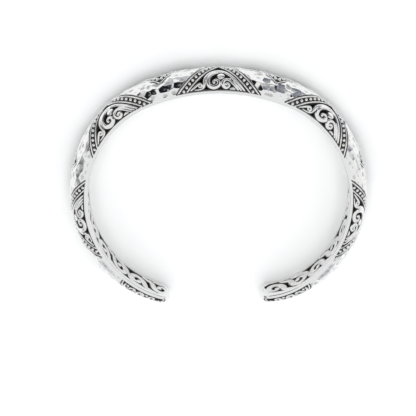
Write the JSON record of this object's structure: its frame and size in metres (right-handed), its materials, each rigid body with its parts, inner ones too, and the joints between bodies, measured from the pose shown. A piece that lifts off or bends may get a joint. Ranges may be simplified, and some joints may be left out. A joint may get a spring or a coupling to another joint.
{
  "type": "cuff bracelet",
  "caption": "Open oval cuff bracelet of hollow silver: a domed outside with arched panels of pierced scrolls and beaded edging, a pierced liner and rounded closed tips.",
  "frame": {"origin": "centre of the bounding box in plan, on the floor under the lower rim", "axes": "the cuff lies on its side: +Z runs along the wrist, +Y points to the closed back of the cuff, -Y to its mouth, and +X across its width"},
  "size_m": [0.0654, 0.0532, 0.009],
  "materials": {
    "silver": "polished and hammered silver with blackened recesses"
  },
  "bodies": {
    "root": {"cuff": "silver"}
  },
  "joints": []
}
